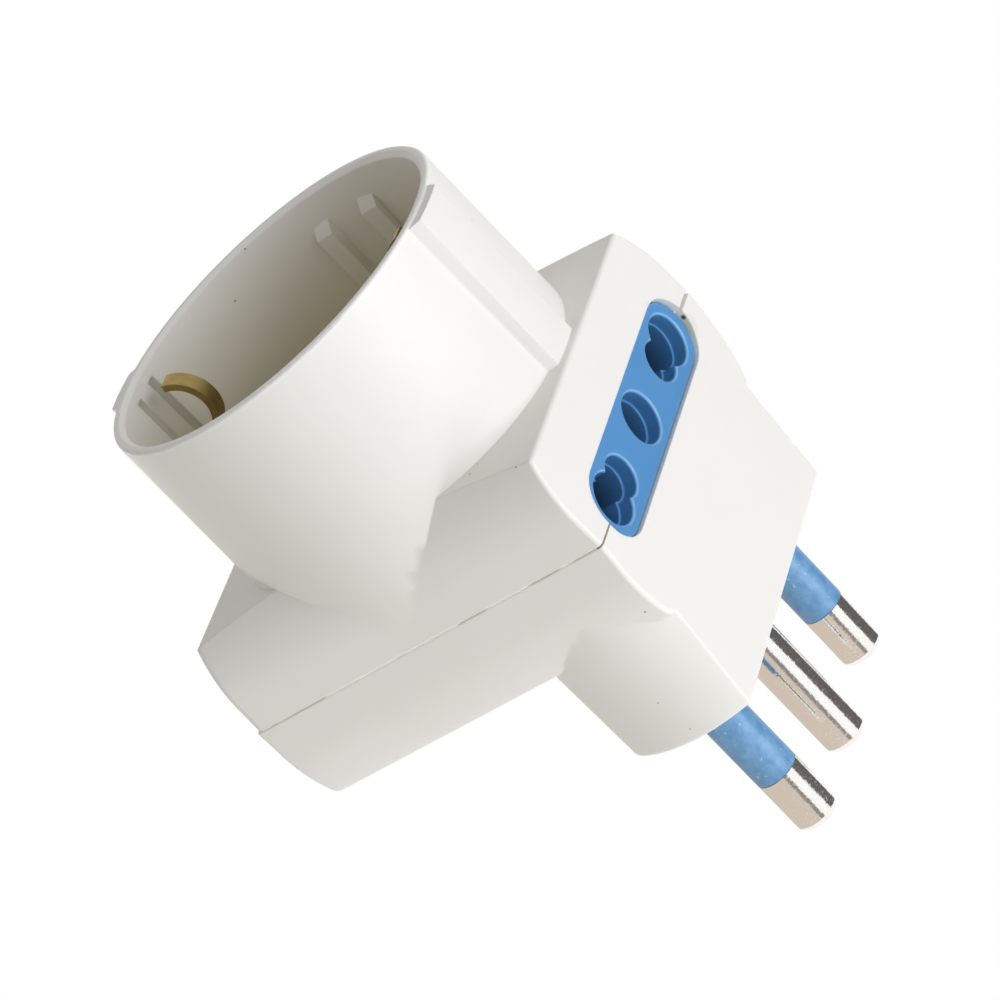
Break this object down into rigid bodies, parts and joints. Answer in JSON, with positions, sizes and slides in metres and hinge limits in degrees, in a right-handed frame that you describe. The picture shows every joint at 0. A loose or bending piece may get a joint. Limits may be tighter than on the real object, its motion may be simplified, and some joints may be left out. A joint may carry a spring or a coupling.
{
  "type": "angled multi-socket adapter",
  "caption": "Angled mains adapter: pins under a stem at one end of a crossbar, pin-hole outlets in the crossbar's ends, and a round earthed outlet in a collar on top.",
  "frame": {"origin": "on the earth pin's axis, in the plane of the stem's flat base, which meets the wall socket", "axes": "+Z away from the wall, along the round outlet's axis towards its rim; +Y along the row of pins; +X towards the crossbar end over the stem"},
  "size_m": [0.0482, 0.0428, 0.0759],
  "materials": {
    "white_plastic": "smooth, lightly glossy off-white",
    "blue_plastic": "satin mid blue",
    "nickel": "polished nickel plate",
    "brass": "plain stamped brass",
    "steel": "zinc plated"
  },
  "bodies": {
    "root": {"front_shell": "white_plastic", "rear_shell": "white_plastic", "socket_insert_right": "blue_plastic", "socket_insert_left": "blue_plastic", "pin_live": "nickel", "pin_neutral": "nickel", "pin_earth": "nickel", "sleeve_live": "blue_plastic", "sleeve_neutral": "blue_plastic", "live_bar": "brass", "neutral_bar": "brass", "earth_bar": "brass", "right_live_contact": "brass", "right_neutral_contact": "brass", "right_earth_contact": "brass", "left_live_contact": "brass", "left_neutral_contact": "brass", "left_earth_contact": "brass", "round_live_contact": "brass", "round_neutral_contact": "brass", "earth_clip_right": "brass", "earth_clip_left": "brass", "earth_strap": "brass", "earth_riser": "brass", "shell_screw": "steel"}
  },
  "joints": []
}
